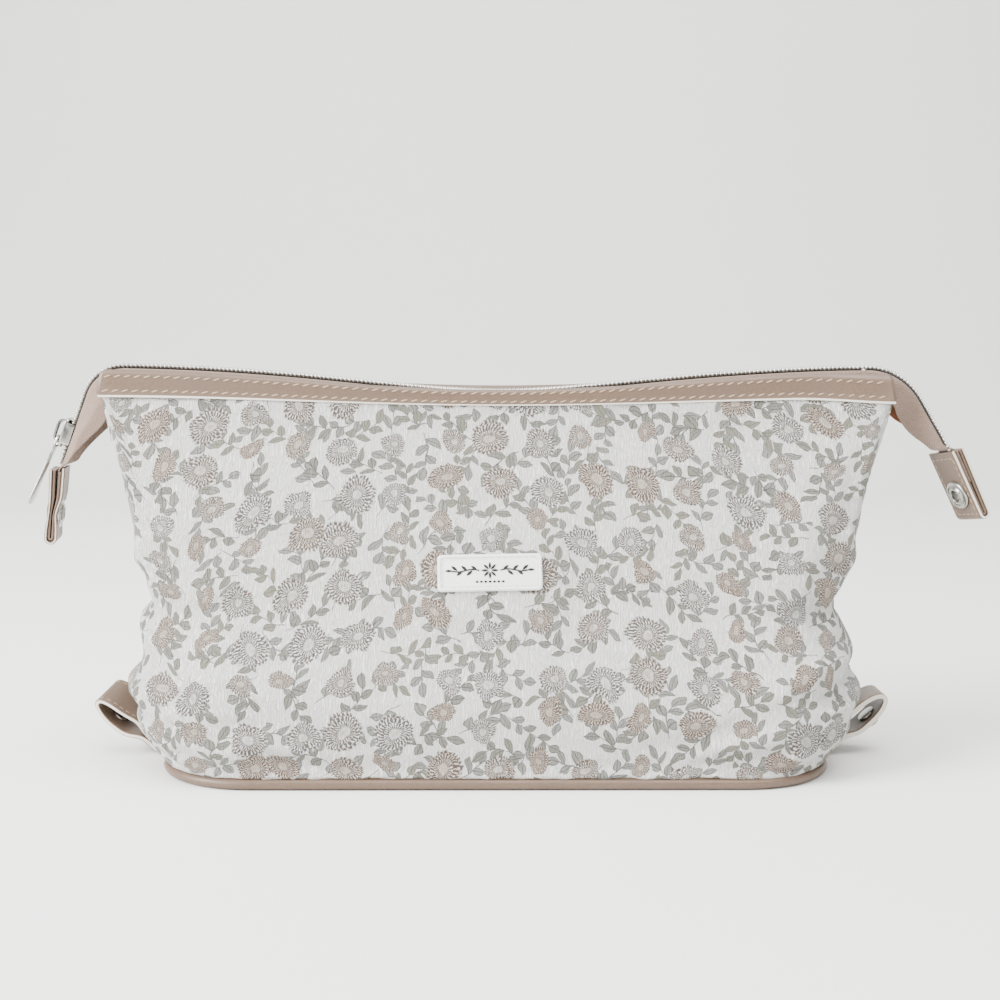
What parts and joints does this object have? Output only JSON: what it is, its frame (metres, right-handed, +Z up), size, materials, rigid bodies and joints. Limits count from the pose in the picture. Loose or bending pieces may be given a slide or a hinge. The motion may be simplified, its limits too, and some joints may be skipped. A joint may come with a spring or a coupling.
{
  "type": "makeup bag",
  "caption": "Wire-framed fabric makeup bag with a hinged wide mouth, a zip whose ends hang over both sides to snap tabs, side loops and a flat base.",
  "frame": {"origin": "centre of the base's underside, on the surface it stands on", "axes": "+X along the mouth to the bag's right, -Y towards the front with the label, +Z up"},
  "size_m": [0.3486, 0.106, 0.1427],
  "materials": {
    "printed_fabric": "woven jacquard, matt, small flowers in rose beige and grey",
    "blush_leather": "smooth blush leather look, soft satin",
    "tan_lining": "plain woven tan lining, matt",
    "blush_tape": "ribbed woven zip tape, matt",
    "zip_metal": "silver plated coil",
    "snap_metal": "polished nickel plate",
    "spring_steel": "drawn wire",
    "grey_board": "pressed board",
    "white_rubber": "soft moulded rubber, matt"
  },
  "bodies": {
    "bag_body": {"base_panel": "blush_leather", "base_board": "grey_board", "base_lining": "tan_lining", "base_piping": "blush_leather", "front_panel": "printed_fabric", "front_lining": "tan_lining", "back_panel": "printed_fabric", "back_lining": "tan_lining", "left_tail_front_tape": "blush_tape", "left_tail_front_chain": "zip_metal", "left_tail_back_tape": "blush_tape", "left_tail_back_chain": "zip_metal", "right_tail_front_tape": "blush_tape", "right_tail_front_chain": "zip_metal", "right_tail_back_tape": "blush_tape", "right_tail_back_chain": "zip_metal"},
    "front_flap": {"front_upper_panel": "printed_fabric", "front_upper_lining": "tan_lining", "front_band": "blush_leather", "front_wire": "spring_steel", "front_mouth_tape": "blush_tape", "front_mouth_chain": "zip_metal", "label": "white_rubber"},
    "back_flap": {"back_upper_panel": "printed_fabric", "back_upper_lining": "tan_lining", "back_band": "blush_leather", "back_wire": "spring_steel", "back_mouth_tape": "blush_tape", "back_mouth_chain": "zip_metal"},
    "zip_slider": {"zip_slider": "snap_metal"},
    "zip_pull": {"zip_pull": "snap_metal"},
    "left_tab": {"left_tab": "blush_leather", "left_tab_socket": "snap_metal", "left_tab_cap": "snap_metal"},
    "right_tab": {"right_tab": "blush_leather", "right_tab_socket": "snap_metal", "right_tab_cap": "snap_metal"},
    "left_loop": {"left_loop": "blush_leather", "left_loop_stud": "snap_metal", "left_loop_rivet": "snap_metal"},
    "right_loop": {"right_loop": "blush_leather", "right_loop_stud": "snap_metal", "right_loop_rivet": "snap_metal"}
  },
  "joints": [
    {"name": "front_mouth", "type": "hinge", "parent": "bag_body", "child": "front_flap", "pos_m": [0, -0.037, 0.06], "axis": [1, 0, 0], "range_deg": [0, 28]},
    {"name": "back_mouth", "type": "hinge", "parent": "bag_body", "child": "back_flap", "pos_m": [0, 0.037, 0.06], "axis": [-1, 0, 0], "range_deg": [0, 28]},
    {"name": "slider_run", "type": "slide", "parent": "bag_body", "child": "zip_slider", "axis": [0.342, 0, 0.9397], "range_m": [0, 0.0095]},
    {"name": "pull_swing", "type": "hinge", "parent": "zip_slider", "child": "zip_pull", "pos_m": [-0.15792, 0, 0.11573], "axis": [0, 1, 0], "range_deg": [0, 110]},
    {"name": "left_tab_swing", "type": "hinge", "parent": "bag_body", "child": "left_tab", "pos_m": [-0.15808, 0, 0.10417], "axis": [0, 1, 0], "range_deg": [-30, 12], "stiffness_Nm_per_rad": 0.002},
    {"name": "right_tab_swing", "type": "hinge", "parent": "bag_body", "child": "right_tab", "pos_m": [0.164, 0, 0.11073], "axis": [0, -1, 0], "range_deg": [-30, 30], "stiffness_Nm_per_rad": 0.002},
    {"name": "left_loop_flex", "type": "hinge", "parent": "bag_body", "child": "left_loop", "pos_m": [-0.124, 0, 0.0035], "axis": [0, -1, 0], "range_deg": [-3, 25], "stiffness_Nm_per_rad": 0.004},
    {"name": "right_loop_flex", "type": "hinge", "parent": "bag_body", "child": "right_loop", "pos_m": [0.123, 0, 0.0035], "axis": [0, 1, 0], "range_deg": [-3, 25], "stiffness_Nm_per_rad": 0.004}
  ]
}
